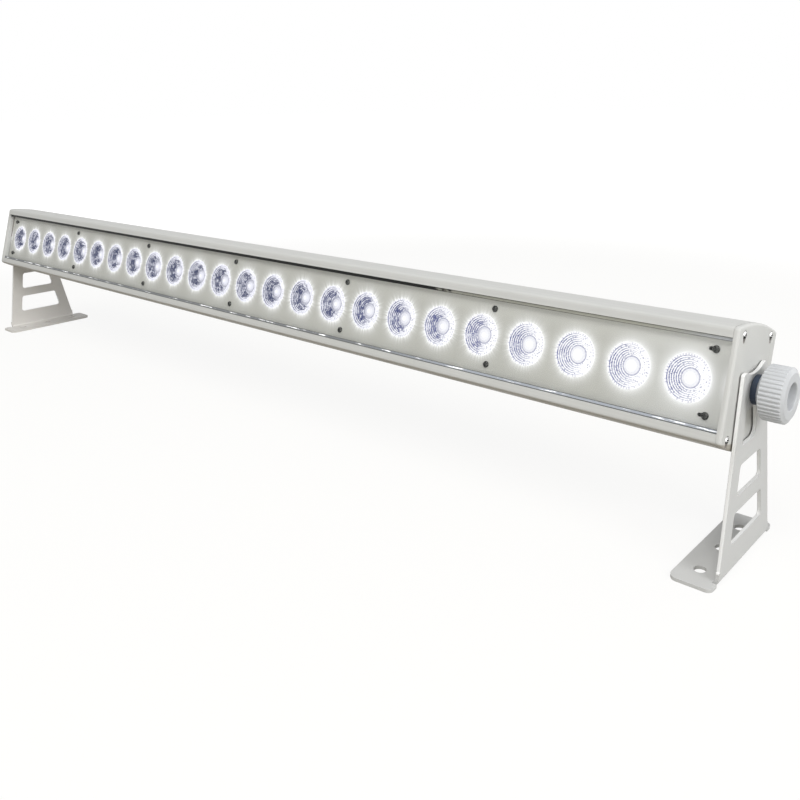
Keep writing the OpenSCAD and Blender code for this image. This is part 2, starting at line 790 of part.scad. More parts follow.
// Section of the sheet in (X, Z): a strip of the foot, the bend and the upright
module bent_sheet() {
    translate([bend_x - bend_lap, 0]) square([bend_lap, sheet_t]);
    translate([bend_x, bend_out_r]) intersection() {
        difference() {
            circle(bend_out_r);
            circle(bend_r);
        }
        translate([0, -bend_out_r]) square(bend_out_r);
    }
    translate([sheet_in_x, bend_out_r]) square([sheet_t, top_z - bend_out_r]);
}

module bracket(side) {
    color("gainsboro") at_end(side) {
        intersection() {
            translate([0, foot_len / 2, 0]) rotate([90, 0, 0]) linear_extrude(foot_len) bent_sheet();
            along_x(bend_x - 2 * bend_lap, bend_out_r + 3 * bend_lap) upright_outline();
        }
        linear_extrude(sheet_t) foot_outline();
    }
}

// ---- parts behind the web and on the rear

module driver() {
    body_r = 3;
    tab_len = driver_len + 2 * driver_tab;
    color("silver") in_bar() difference() {
        union() {
            along_x(-driver_len / 2, driver_len) polygon(rounded(
                [[bay_y, -driver_h / 2], [bay_y + driver_depth, -driver_h / 2],
                 [bay_y + driver_depth, driver_h / 2], [bay_y, driver_h / 2]],
                [0.5, body_r, body_r, 0.5]));
            translate([-tab_len / 2, bay_y, -driver_h / 2]) cube([tab_len, driver_tab_t, driver_h]);
        }
        for (x = driver_screw_xs, z = driver_screw_zs) facing_rear(x, bay_y - eps, z)
            cylinder(h = driver_tab_t + 2 * eps, r = driver_screw[2] + screw_gap);
    }
}

module driver_screws() {
    color("silver") in_bar() for (x = driver_screw_xs, z = driver_screw_zs)
        facing_rear(x, bay_y + driver_tab_t, z) pan_screw(driver_screw);
}

gland_r = gland_af / sqrt(3);
thread_r = gland_thread_d / 2;
thread_in = rear_wall_t + gland_thread_h;
seal_z = gland_flange_h + gland_thread_h / 2;

module gland_bodies() {
    color("white") in_bar() for (x = gland_xs) facing_rear(x, land_y, 0) difference() {
        union() {
            translate([0, 0, -thread_in]) cylinder(h = thread_in + seal_z, r = thread_r);
            cylinder(h = gland_flange_h, r = gland_r, $fn = 6);
        }
        translate([0, 0, -thread_in - eps])
            cylinder(h = thread_in + seal_z + air_gap, r = cable_hole_d / 2);
    }
}

module gland_nuts() {
    base_z = gland_flange_h + side_gap;
    mouth_r = gland_r * 0.62;
    shoulder_h = gland_nut_h * 0.45;
    color("white") in_bar() for (x = gland_xs) facing_rear(x, land_y, 0) difference() {
        translate([0, 0, base_z]) intersection() {
            cylinder(h = gland_nut_h, r = gland_r - side_gap, $fn = 6);
            rotate_extrude() polygon(concat(
                [[0, 0], [gland_r, 0]],
                [for (a = [0:15:90]) [mouth_r + (gland_r - mouth_r) * cos(a),
                                      shoulder_h + (gland_nut_h - shoulder_h) * sin(a)]],
                [[0, gland_nut_h]]));
        }
        translate([0, 0, base_z - eps])
            cylinder(h = seal_z + gland_seal_len + side_gap - base_z, r = thread_r + fit_gap);
        translate([0, 0, base_z - eps])
            cylinder(h = gland_nut_h + air_gap, r = cable_hole_d / 2 + side_gap);
    }
}

module gland_seals() {
    color("dimgray") in_bar() for (x = gland_xs)
        facing_rear(x, land_y + seal_z, 0) difference() {
            cylinder(h = gland_seal_len, r = thread_r);
            translate([0, 0, -eps]) cylinder(h = gland_seal_len + 2 * eps, r = cable_hole_d / 2);
        }
}

module gland_locknuts() {
    color("white") in_bar() for (x = gland_xs)
        facing_front(x, bay_end_y, 0) difference() {
            cylinder(h = locknut_h, r = gland_r, $fn = 6);
            translate([0, 0, -eps]) cylinder(h = locknut_h + 2 * eps, r = thread_r + fit_gap);
        }
}

module breather_plug() {
    color("white") in_bar() facing_rear(vent_x, land_y, 0) difference() {
        union() {
            cylinder(h = vent_h, r = vent_d / 2);
            translate([0, 0, -rear_wall_t - locknut_h])
                cylinder(h = rear_wall_t + locknut_h + eps, r = vent_thread_d / 2);
        }
        for (i = [0:vent_slots - 1]) rotate(i * 360 / vent_slots)
            translate([vent_d / 2 - vent_slot_w, -vent_slot_w / 2, vent_slot_w])
                cube([2 * vent_slot_w, vent_slot_w, vent_h - 2 * vent_slot_w]);
    }
}

// ---- the nodes

housing();
end_cap(-1);  // end_cap_left
end_cap(1);  // end_cap_right
end_gasket(-1);  // end_gasket_left
end_gasket(1);  // end_gasket_right
end_cap_screws(-1);  // end_cap_screws_left
end_cap_screws(1);  // end_cap_screws_right
cover_glass();
glass_seals();
lens_plate();
lens_plate_screws();
led_chips();
board_screws();
driver();
driver_screws();
pivot_stud(-1);  // pivot_stud_left
pivot_stud(1);  // pivot_stud_right
slip_washer(-1);  // slip_washer_left
slip_washer(1);  // slip_washer_right
bracket(-1);  // bracket_left
bracket(1);  // bracket_right
rubber_washer(-1);  // rubber_washer_left
rubber_washer(1);  // rubber_washer_right
knob(-1);  // knob_left
knob(1);  // knob_right
knob_insert(-1);  // knob_insert_left
knob_insert(1);  // knob_insert_right
gland_bodies();
gland_nuts();
gland_seals();
gland_locknuts();
breather_plug();
for (i = [0:board_count - 1]) led_board(i);
for (i = [0:led_count - 1]) lens(led_xs[i]);
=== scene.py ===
import json
import math

import bmesh
import bpy
import numpy as np
from mathutils import Matrix, Vector


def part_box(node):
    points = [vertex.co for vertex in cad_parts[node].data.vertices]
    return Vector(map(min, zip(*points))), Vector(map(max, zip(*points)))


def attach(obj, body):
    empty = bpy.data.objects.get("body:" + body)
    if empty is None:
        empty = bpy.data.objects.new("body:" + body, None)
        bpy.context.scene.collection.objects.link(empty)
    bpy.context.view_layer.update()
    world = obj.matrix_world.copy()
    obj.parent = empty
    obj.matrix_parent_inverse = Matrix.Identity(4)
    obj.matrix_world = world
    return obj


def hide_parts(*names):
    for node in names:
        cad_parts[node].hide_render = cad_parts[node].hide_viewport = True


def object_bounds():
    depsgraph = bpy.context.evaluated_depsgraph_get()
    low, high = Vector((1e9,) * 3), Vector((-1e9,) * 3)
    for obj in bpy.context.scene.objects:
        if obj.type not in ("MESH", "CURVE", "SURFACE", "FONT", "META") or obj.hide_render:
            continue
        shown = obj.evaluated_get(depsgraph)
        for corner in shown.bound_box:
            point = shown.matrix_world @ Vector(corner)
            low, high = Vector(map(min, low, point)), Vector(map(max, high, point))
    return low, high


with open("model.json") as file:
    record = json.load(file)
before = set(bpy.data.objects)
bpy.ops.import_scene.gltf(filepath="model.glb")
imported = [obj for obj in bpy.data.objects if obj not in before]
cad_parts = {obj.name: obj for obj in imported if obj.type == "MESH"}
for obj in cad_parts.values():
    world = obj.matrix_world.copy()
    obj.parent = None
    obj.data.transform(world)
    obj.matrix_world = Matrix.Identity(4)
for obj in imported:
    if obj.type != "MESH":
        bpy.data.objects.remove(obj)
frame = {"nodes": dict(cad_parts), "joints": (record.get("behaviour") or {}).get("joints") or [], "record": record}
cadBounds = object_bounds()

mm = 0.001

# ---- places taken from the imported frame

record = frame["record"]
pivotHeight = next(j["pos_m"][2] for j in frame["joints"] if j["name"] == "bracket_right_pivot")
rearAxis = next(m["axis"] for m in record["mounts"] if m["name"] == "cable_entry_right")
tilt = math.atan2(-rearAxis[2], rearAxis[1])  # the bar looks up by this angle
lensNodes = sorted(n for n in frame["nodes"] if n.startswith("lens_") and n[5:].isdigit())


def middleX(node):
    low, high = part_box(node)
    return (low[0] + high[0]) / 2


lensX = np.array([middleX(n) for n in lensNodes])
lensPitch = (lensX[-1] - lensX[0]) / (len(lensX) - 1)


def fromBar(points):
    # turns points of the bar's own frame, whose X is the pivot axis, into the row frame
    points = np.asarray(points, float)
    y, z = points[..., 1], points[..., 2]
    out = np.empty_like(points)
    out[..., 0] = points[..., 0]
    out[..., 1] = y * math.cos(tilt) + z * math.sin(tilt)
    out[..., 2] = pivotHeight - y * math.sin(tilt) + z * math.cos(tilt)
    return out


# ---- shader maths

class Wire:
    # a shader socket that takes part in written sums
    def __init__(self, finish, end):
        self.finish, self.end = finish, end

    def sum(self, operation, *values):
        return self.finish.node("ShaderNodeMath", {"operation": operation}, dict(enumerate(values)))

    def to(self, operation, *values):
        return self.sum(operation, self, *values)

    def __add__(self, other): return self.sum("ADD", self, other)
    def __radd__(self, other): return self.sum("ADD", other, self)
    def __sub__(self, other): return self.sum("SUBTRACT", self, other)
    def __rsub__(self, other): return self.sum("SUBTRACT", other, self)
    def __mul__(self, other): return self.sum("MULTIPLY", self, other)
    def __rmul__(self, other): return self.sum("MULTIPLY", other, self)
    def __truediv__(self, other): return self.sum("DIVIDE", self, other)
    def __rtruediv__(self, other): return self.sum("DIVIDE", other, self)
    def __gt__(self, other): return self.sum("GREATER_THAN", self, other)
    def __lt__(self, other): return self.sum("LESS_THAN", self, other)

    def ramp(self, low, high, start=0.0, end=1.0):
        # runs smoothly from start to end while the value runs from low to high
        return self.finish.node("ShaderNodeMapRange", {"interpolation_type": "SMOOTHSTEP"},
                                {"Value": self, "From Min": low, "From Max": high,
                                 "To Min": start, "To Max": end})


class Finish:
    # one material, or the world, while its nodes are being made
    def __init__(self, name, holder=None):
        self.material = holder or bpy.data.materials.new(name)
        self.material.use_nodes = True
        self.tree = self.material.node_tree
        self.tree.nodes.clear()

    def node(self, kind, settings=None, sockets=None, output=0):
        made = self.tree.nodes.new(kind)
        for key, value in (settings or {}).items():
            setattr(made, key, value)
        for key, value in (sockets or {}).items():
            if isinstance(value, Wire):
                self.tree.links.new(value.end, made.inputs[key])
            else:
                made.inputs[key].default_value = value
        return Wire(self, made.outputs[output]) if made.outputs else None

    def place(self):
        return self.node("ShaderNodeTexCoord", output="Object")

    def barPlace(self):
        # object coordinates turned into the bar's own frame
        return self.node("ShaderNodeMapping", {}, {
            "Vector": self.place(), "Rotation": (tilt, 0, 0),
            "Location": (0, pivotHeight * math.sin(tilt), -pivotHeight * math.cos(tilt))})

    def parts(self, vector):
        return [self.node("ShaderNodeSeparateXYZ", {}, {0: vector}, i) for i in range(3)]

    def join(self, x, y, z):
        return self.node("ShaderNodeCombineXYZ", {}, {0: x, 1: y, 2: z})

    def noise(self, vector, scale, detail, rough=0.5):
        return self.node("ShaderNodeTexNoise", {}, {
            "Vector": vector, "Scale": scale, "Detail": detail, "Roughness": rough})

    def blend(self, factor, first, second):
        # mixes two colours
        return self.node("ShaderNodeMix", {"data_type": "RGBA"},
                         {0: factor, 6: first, 7: second}, 2)

    def stretched(self, vector, scale):
        return self.node("ShaderNodeVectorMath", {"operation": "MULTIPLY"}, {0: vector, 1: scale})

    def bump(self, height, distance):
        return self.node("ShaderNodeBump", {}, {"Height": height, "Distance": distance})

    def surface(self, sockets):
        shader = self.node("ShaderNodeBsdfPrincipled", {}, sockets)
        self.node("ShaderNodeOutputMaterial", {}, {"Surface": shader})
        return self.material


def dimmed(colour, factor):
    return tuple(c * factor for c in colour[:3]) + (1.0,)


# ---- finishes

# a ramp is written as from, to and, where they aren't 0 and 1, the values at its two ends
coatSettings = {
    "grainScale": 1500, "grainHeight": 0.02 * mm, "cloudScale": 22, "cloudShare": 0.035,
    "cloud": (0.3, 0.7), "roughness": (0.3, 0.7, 0.47, 0.57), "specular": 0.35,
    "dieLines": (1.5, 900, 900), "lineRamp": (0.35, 0.65), "lineWeight": 0.6, "lineHeight": 0.8,
    "lineShare": 0.09,
    # light and shade painted into the coat: screw pockets, underside and cut sheet edges
    "pocketColour": (0.40, 0.37, 0.345, 1.0),
    "underColour": (0.37, 0.345, 0.30, 1.0), "under": (-34.9 * mm, -33.6 * mm, 1.0, 0.0),
    "edgeColour": (0.88, 0.88, 0.87, 1.0),
    "sheetInner": 502.95 * mm, "sheetOuter": 504.95 * mm, "edgeAbove": 8 * mm,
}

screwSettings = {
    # places of the end cap screws in the bar's frame, front and rear
    "ports": ((-22.9 * mm, 31.6 * mm), (22.0 * mm, 34.0 * mm)), "headRadius": 2.5 * mm,
    "pocketFace": 501.45 * mm, "pocketHalf": 3.2 * mm, "pocketTop": 3.2 * mm,
    "crossHalf": 0.35 * mm, "crossReach": 1.5 * mm, "lowShade": (-0.45, -0.2, 1.0, 0.0),
    "bright": (0.86, 0.86, 0.86, 1.0), "dark": (0.03, 0.03, 0.028, 1.0),
    "markScale": 900, "markHeight": 0.008 * mm, "markRough": 0.10, "roughness": 0.12,
}


def fromScrew(f):
    # place from the axis of the nearest end cap screw: across, and up
    ports = screwSettings["ports"]
    x, y, z = f.parts(f.barPlace())
    rear = y > 0.0
    portY = rear * (ports[1][0] - ports[0][0]) + ports[0][0]
    portZ = rear * (ports[1][1] - ports[0][1]) + ports[0][1]
    return x, y - portY, z - portZ * ((z > 0.0) * 2.0 - 1.0)


def inScrewPocket(f):
    # 1 on the walls and floor of the pockets round the end cap screws
    s = screwSettings
    x, across, up = fromScrew(f)
    inside = x.to("ABSOLUTE") < s["pocketFace"]
    return inside * (across.to("ABSOLUTE") < s["pocketHalf"]) * (up < s["pocketTop"])


def powderCoat(name, colour, dieLines=False, under=False, pockets=False, cutEdges=False):
    # sprayed coat: fine orange peel, faint clouds, and faint lines along an extrusion
    s = coatSettings
    f = Finish(name)
    place = f.place()
    peel = f.noise(place, s["grainScale"], 3.0)
    cloud = f.noise(place, s["cloudScale"], 3.0)
    height, share = peel, s["cloudShare"]
    tone = cloud.ramp(*s["cloud"])
    if dieLines:
        lines = f.noise(f.stretched(f.barPlace(), s["dieLines"]), 1.0, 2.0)
        tone = tone * (1 - s["lineWeight"]) + lines.ramp(*s["lineRamp"]) * s["lineWeight"]
        height, share = peel + lines * s["lineHeight"], s["lineShare"]
    paint = f.blend(tone, dimmed(colour, 1 - share), colour)
    # painted shade: darker on the underside of the bar and the caps
    if under:
        barUp = f.parts(f.barPlace())[2]
        paint = f.blend(barUp.ramp(*s["under"]), paint, s["underColour"])
    # painted shade in the pockets round the end cap screws
    if pockets:
        paint = f.blend(inScrewPocket(f), paint, s["pocketColour"])
    # painted highlight: the cut edges of the bracket sheet are paler
    if cutEdges:
        x, _, z = f.parts(place)
        side = x.to("ABSOLUTE")
        cut = (side > s["sheetInner"]) * (side < s["sheetOuter"]) * (z > s["edgeAbove"])
        paint = f.blend(cut, paint, s["edgeColour"])
    return f.surface({
        "Base Color": paint,
        "Roughness": cloud.ramp(*s["roughness"]),
        "Normal": f.bump(height, s["grainHeight"]),
        "Specular IOR Level": s["specular"],
    })


plasticSettings = {
    "grainScale": 2100, "grainHeight": 0.01 * mm, "cloudScale": 52.5, "cloud": (0.3, 0.7),
    "lowShare": 0.96, "sheen": (0.25, 0.75), "sheenBelow": 0.05, "sheenAbove": 0.07,
}


def mouldedPlastic(name, colour, roughness):
    # moulded plastic: a soft uneven sheen and a very fine grain
    s = plasticSettings
    f = Finish(name)
    place = f.place()
    grain = f.noise(place, s["grainScale"], 2.0)
    cloud = f.noise(place, s["cloudScale"], 2.0)
    low, high = roughness - s["sheenBelow"], roughness + s["sheenAbove"]
    return f.surface({
        "Base Color": f.blend(cloud.ramp(*s["cloud"]), dimmed(colour, s["lowShare"]), colour),
        "Roughness": cloud.ramp(*s["sheen"], low, high),
        "Normal": f.bump(grain, s["grainHeight"]),
    })


rubberSettings = {
    "pitScale": 2400, "pitHeight": 0.03 * mm, "bloomScale": 160, "bloom": (0.45, 0.75),
    "dustGain": 1.7, "dustLift": 0.01, "roughness": 0.62, "bloomRough": 0.15,
}


def rubber(name, colour):
    # matt rubber with a pitted skin and a dusty bloom
    s = rubberSettings
    f = Finish(name)
    place = f.place()
    pits = f.noise(place, s["pitScale"], 3.0)
    bloom = f.noise(place, s["bloomScale"], 3.0).ramp(*s["bloom"])
    dusty = tuple(c * s["dustGain"] + s["dustLift"] for c in colour[:3]) + (1.0,)
    return f.surface({
        "Base Color": f.blend(bloom, colour, dusty),
        "Roughness": bloom * s["bloomRough"] + s["roughness"],
        "Normal": f.bump(pits, s["pitHeight"]),
    })


metalSettings = {
    "markScale": 700, "markStretch": (1.0, 1.0, 6.0), "markHeight": 0.01 * mm, "markRough": 0.12,
    "stainScale": 90, "stain": (0.5, 0.8), "stainShare": 0.72, "stainRough": 0.15,
}


def metal(name, colour, roughness):
    # bright metal with fine turning marks and a few stains
    s = metalSettings
    f = Finish(name)
    place = f.place()
    marks = f.noise(f.stretched(place, s["markStretch"]), s["markScale"], 3.0)
    stain = f.noise(place, s["stainScale"], 3.0).ramp(*s["stain"])
    return f.surface({
        "Base Color": f.blend(stain, colour, dimmed(colour, s["stainShare"])),
        "Metallic": 1.0,
        "Roughness": marks * s["markRough"] + stain * s["stainRough"] + roughness,
        "Normal": f.bump(marks, s["markHeight"]),
    })


plateSettings = {
    "colour": (0.54, 0.54, 0.495, 1.0), "endColour": (0.62, 0.625, 0.595, 1.0),
    "lowShare": 0.97, "cloudScale": 30, "cloud": (0.3, 0.7), "roughness": (0.3, 0.7, 0.45, 0.55),
    "grainScale": 1800, "grainHeight": 0.012 * mm, "end": (0.40, 0.47),
    "lensRadius": 15.3 * mm, "haloReach": 2.2 * mm, "haloStrength": 0.50,
    "haloColour": (0.92, 0.93, 1.0, 1.0), "washReach": 6 * mm, "washStrength": 0.08,
    "rays": 14.0, "raysAlong": 4.0, "rayRamp": (0.35, 0.63, 0.30, 1.5),
    "even": (0.15, 0.50), "evenLevel": 0.85,  # where the rays melt together
    "top": (12 * mm, 27 * mm), "topGlow": (0.0, 0.46, 0.06, 0.16), "topColour": (1, 1, 0.95, 1),
    "unlit": (0, 0, 0, 1),
}


def nearestLens(f):
    # distance and direction from the nearest lens axis, in the plane of the lens plate
    x, _, z = f.parts(f.barPlace())
    across = ((x / lensPitch).to("FRACT") - 0.5) * lensPitch
    distance = (across * across + z * z).to("SQRT")
    return x, across, z, distance


def lensPlatePaint():
    # white plate: satin coat. The light that spills from the lenses is painted on as emission.
    s = plateSettings
    f = Finish("lensPlatePaint")
    x, across, z, distance = nearestLens(f)
    outward = f.join(across / distance * s["rays"], z / distance * s["rays"], x * s["raysAlong"])
    rays = f.noise(outward, 1.0, 2.0).ramp(*s["rayRamp"])
    even = x.ramp(*s["even"])
    beyond = distance - s["lensRadius"]
    halo = (beyond / -s["haloReach"]).to("EXPONENT") * s["haloStrength"]
    halo = halo * (rays * (1.0 - even) + even * s["evenLevel"])
    wash = (beyond / -s["washReach"]).to("EXPONENT") * s["washStrength"]
    # painted light: a glow over the upper part of the plate, under the top lip, stronger towards the right end
    top = z.ramp(*s["top"]) * x.ramp(*s["topGlow"])
    glow = (halo + wash).to("MINIMUM", 1.0)
    light = f.blend(top, f.blend(glow, s["unlit"], s["haloColour"]), s["topColour"])
    place = f.place()
    cloud = f.noise(place, s["cloudScale"], 2.0)
    paint = f.blend(cloud.ramp(*s["cloud"]), dimmed(s["colour"], s["lowShare"]), s["colour"])
    return f.surface({
        # painted light: the plate is paler towards the right end
        "Base Color": f.blend(x.ramp(*s["end"]), paint, s["endColour"]),
        "Roughness": cloud.ramp(*s["roughness"]),
        "Normal": f.bump(f.noise(place, s["grainScale"], 2.0), s["grainHeight"]),
        "Emission Color": light,
        "Emission Strength": 1.0,
    })


glassSettings = {
    "colour": (0.30, 0.33, 0.33, 1.0), "dustScale": 260, "dustDetail": 4.0, "dustRough": 0.6,
    "roughness": (0.4, 0.8, 0.04, 0.10), "alpha": (0.5, 0.9, 0.035, 0.06), "ior": 1.45,
}


def coverGlassFinish():
    # clear glass as a thin film: mostly see-through, with a clean reflection and faint dust
    s = glassSettings
    f = Finish("coverGlass")
    dust = f.noise(f.place(), s["dustScale"], s["dustDetail"], s["dustRough"])
    return f.surface({
        "Base Color": s["colour"],
        "Roughness": dust.ramp(*s["roughness"]),
        "Alpha": dust.ramp(*s["alpha"]),
        "IOR": s["ior"],
    })


sealSettings = {
    "inner": 26.3 * mm, "width": 2.5 * mm,  # where the strips show, from the bar's middle line
    "black": (0.010, 0.011, 0.010, 1.0), "olive": (0.42, 0.42, 0.37, 1.0),
    "pale": (0.46, 0.48, 0.53, 1.0), "lower": (0.42, 0.45, 0.50, 1.0),
    "dark": (0.14, 0.145, 0.14, 1.0), "glint": (1.0, 1.0, 1.0, 1.0),
    "oliveRamp": (0.262, 0.290), "paleRamp": (0.44, 0.50), "lowerRamp": (0.16, 0.32),
    "lowerLeft": (0.23, 0.24, 0.25, 1.0), "unlit": (0, 0, 0, 1),
    "upperGlow": (0.07, 0.07, 0.06, 1.0), "upperGlowRamp": (0.262, 0.44),
    "lightEdgeScale": 120, "lightEdgeJitter": (0.3, 0.7, -0.02, 0.02),
    "upperLines": ((0.10, 0.30, 1.0, 0.0), (0.72, 0.90)), "lineStrength": 0.75,
    "lowerEdges": ((0.06, 0.22, 1.0, 0.0), (0.68, 0.80)),
    "glintScale": 60, "glintRise": 500, "glintRough": 0.65, "glintRamp": (0.52, 0.64),
    "glintAcross": ((0.20, 0.34), (0.52, 0.70, 1.0, 0.0)), "glintGlow": (0.6, 0.6, 0.62, 1),
    "roughness": 0.45, "glintSmooth": 0.2, "specular": 0.2,
    "grainScale": 900, "grainHeight": 0.02 * mm,
}


def glazingSealFinish():
    # silicone between lips and glass. Above, black that turns olive and then pale towards the
    # right end, with a dark line along each edge. Below, a pale band with broken glints between
    # two thin dark lines. The change along the bar is painted light and shade, the glints are
    # painted highlights, and the faint glow on the upper strip is painted light.
    s = sealSettings
    f = Finish("glazingSeal")
    x, _, z = f.parts(f.barPlace())
    # noise that roughens where the painted light on the upper strip changes along the bar
    lightEdgeJitter = f.noise(f.place(), s["lightEdgeScale"], 3.0).ramp(*s["lightEdgeJitter"])
    upper = f.blend((x + lightEdgeJitter).ramp(*s["oliveRamp"]), s["black"], s["olive"])
    upper = f.blend(x.ramp(*s["paleRamp"]), upper, s["pale"])
    across = (z - s["inner"]) / s["width"]
    lines = across.ramp(*s["upperLines"][0]) + across.ramp(*s["upperLines"][1])
    upper = f.blend(lines * s["lineStrength"], upper, s["black"])
    across = (z * -1.0 - s["inner"]) / s["width"]
    edges = across.ramp(*s["lowerEdges"][0]) + across.ramp(*s["lowerEdges"][1])
    streaks = f.join(x * s["glintScale"], 0.0, z * s["glintRise"])
    glint = f.noise(streaks, 1.0, 3.0, s["glintRough"]).ramp(*s["glintRamp"]) * (z < 0.0)
    glint = glint * across.ramp(*s["glintAcross"][0]) * across.ramp(*s["glintAcross"][1])
    tone = f.blend(x.ramp(*s["lowerRamp"]), s["lowerLeft"], s["lower"])
    lower = f.blend(edges, tone, s["dark"])
    glow = f.blend(x.ramp(*s["upperGlowRamp"]) * (z > 0.0), s["unlit"], s["upperGlow"])
    return f.surface({
        "Base Color": f.blend(glint, f.blend(z < 0.0, upper, lower), s["glint"]),
        "Roughness": s["roughness"] - glint * s["glintSmooth"],
        "Specular IOR Level": s["specular"],
        "Normal": f.bump(f.noise(f.place(), s["grainScale"], 2.0), s["grainHeight"]),
        "Emission Color": f.blend(glint, glow, s["glintGlow"]),
        "Emission Strength": 1.0,
    })


opticSettings = {
    "faceDepth": -25.3 * mm,  # the lens face in the bar's frame
    "outer": 15.3 * mm, "rim": 1.3 * mm, "well": 6.6 * mm, "core": 5.8 * mm,
    "steps": 6, "stepHeight": 0.8 * mm, "riserLean": 0.45 * mm,
    "groove": 0.5 * mm, "dome": 0.9 * mm, "sectors": 96, "seed": 24,
    "back": ((0.1 * mm, 6.8 * mm), (7.0 * mm, 6.8 * mm),
             (14.4 * mm, 2.2 * mm), (15.3 * mm, 1.7 * mm)),
    "slate": (0.016, 0.024, 0.080, 1.0), "slateNear": (0.06, 0.075, 0.26, 1.0),
    "white": (1.0, 1.0, 1.0, 1.0), "whiteFar": (0.90, 0.905, 1.0, 1.0), "near": (0.0, 0.42),
    "litBase": (0.10, 0.10, 0.11, 1.0), "slateBase": (0.02, 0.022, 0.04, 1.0),
    "speckScale": 850, "speck": (0.40, 0.58, 0.88, 1.2), "roughness": 0.22,
    "rimRound": 0.15 * mm, "wallLean": 0.1 * mm, "coreLean": 0.05 * mm, "treadMiddle": 0.5,
    "domeAngles": (20, 45, 70, 88),
}


def opticFinish():
    # lit moulded optic: white light, with slate facets painted as shade where the walls turn away from it
    s = opticSettings
    f = Finish("litOptic")
    facet = f.node("ShaderNodeAttribute", {"attribute_name": "facet"}, output=2)
    speck = f.noise(f.barPlace(), s["speckScale"], 3.0).ramp(*s["speck"])
    dark = (facet * speck).to("MINIMUM", 1.0)
    # painted light: lenses towards the right end are painted whiter, and their slate paler and bluer
    near = f.parts(f.barPlace())[0].ramp(*s["near"])
    white = f.blend(near, s["whiteFar"], s["white"])
    return f.surface({
        "Base Color": f.blend(dark, s["litBase"], s["slateBase"]),
        "Roughness": s["roughness"],
        "Emission Color": f.blend(dark, white, f.blend(near, s["slate"], s["slateNear"])),
        "Emission Strength": 1.0,
    })


def capScrewFinish():
    # bright plated heads: a mirror-like crown, with painted shade in the cross and along the lower edge
    s = screwSettings
    f = Finish("capScrewSteel")
    _, across, up = fromScrew(f)
    low = (up / s["headRadius"]).ramp(*s["lowShade"])
    arms = (across.to("ABSOLUTE") < s["crossHalf"]) + (up.to("ABSOLUTE") < s["crossHalf"])
    inside = (across * across + up * up) < s["crossReach"] ** 2
    dark = (low + arms * inside).to("MINIMUM", 1.0)
    marks = f.noise(f.place(), s["markScale"], 3.0)
    return f.surface({
        "Base Color": f.blend(dark, s["bright"], s["dark"]),
        "Metallic": 1.0,
        "Roughness": marks * s["markRough"] + s["roughness"],
        "Normal": f.bump(marks, s["markHeight"]),
    })


print("finishes")
bodyPaint = (0.605, 0.605, 0.585, 1.0)
finishes = {
    "body": powderCoat("bodyCoat", bodyPaint, dieLines=True, under=True),
    "cap": powderCoat("capCoat", bodyPaint, under=True, pockets=True),
    "bracket": powderCoat("bracketCoat", (0.60, 0.60, 0.59, 1.0), cutEdges=True),
    # the left bracket is painted paler, which stands in for more light on it
    "bracketLeft": powderCoat("bracketLeftCoat", (0.69, 0.67, 0.64, 1.0), cutEdges=True),
    "knob": mouldedPlastic("knobPlastic", (0.56, 0.57, 0.585, 1.0), 0.42),
    "gland": mouldedPlastic("glandNylon", (0.58, 0.58, 0.57, 1.0), 0.45),
    "slip": mouldedPlastic("slipNylon", (0.62, 0.62, 0.60, 1.0), 0.5),
    "board": mouldedPlastic("boardMask", (0.78, 0.78, 0.76, 1.0), 0.35),
    "driver": mouldedPlastic("driverCase", (0.50, 0.51, 0.52, 1.0), 0.5),
    "phosphor": mouldedPlastic("phosphor", (0.85, 0.75, 0.30, 1.0), 0.3),
    "washer": rubber("washerRubber", (0.012, 0.022, 0.042, 1.0)),
    "seal": rubber("sealRubber", (0.04, 0.043, 0.046, 1.0)),
    "gasket": mouldedPlastic("gasketSilicone", (0.66, 0.66, 0.64, 1.0), 0.55),
    "screw": metal("screwSteel", (0.62, 0.61, 0.60, 1.0), 0.24),
    # the lens plate screws are painted near black: a painted dark reflection on plated heads
    "plateScrew": metal("plateScrewSteel", (0.07, 0.07, 0.066, 1.0), 0.14),
    "stud": metal("studSteel", (0.56, 0.56, 0.57, 1.0), 0.32),
    "brass": metal("insertBrass", (0.70, 0.52, 0.22, 1.0), 0.3),
    "plate": lensPlatePaint(),
    "glass": coverGlassFinish(),
    "glazing": glazingSealFinish(),
    "optic": opticFinish(),
    "capScrew": capScrewFinish(),
}

slotFinish = {
    "body_paint": "body", "cap_paint": "cap", "bracket_paint": "bracket", "seal_rubber": "seal",
    "washer_rubber": "washer", "screw_steel": "screw", "stud_steel": "stud",
    "cover_glass": "glass", "plate_white": "plate", "led_phosphor": "phosphor",
    "driver_case": "driver", "slip_nylon": "slip", "knob_plastic": "knob",
    "insert_brass": "brass", "gland_nylon": "gland", "board_white": "board",
    "lens_acrylic": "optic",
}


def dress(thing, finishName):
    thing.data.materials.clear()
    thing.data.materials.append(finishes[finishName])


print("CAD nodes")
for part in record["subparts"]:
    dress(frame["nodes"][part["node"]], slotFinish[part["material_slot"]])
dress(frame["nodes"]["glass_seals"], "glazing")
dress(frame["nodes"]["lens_plate_screws"], "plateScrew")
for side in ("left", "right"):
    dress(frame["nodes"]["end_cap_screws_" + side], "capScrew")
    dress(frame["nodes"]["end_gasket_" + side], "gasket")


# ---- rounded copies of the rigid nodes

softSettings = {"merge": 0.002 * mm, "flatDegrees": 0.5, "sharpDegrees": 32, "segments": 2}

# widths of the rounded edges
edgeSettings = {
    "housing": 0.35 * mm, "end_cap": 0.25 * mm, "bracket": 0.35 * mm, "knob": 0.22 * mm,
    "rubber_washer": 0.5 * mm, "gland_nuts": 0.4 * mm, "gland_bodies": 0.3 * mm,
    "breather_plug": 0.4 * mm,
}


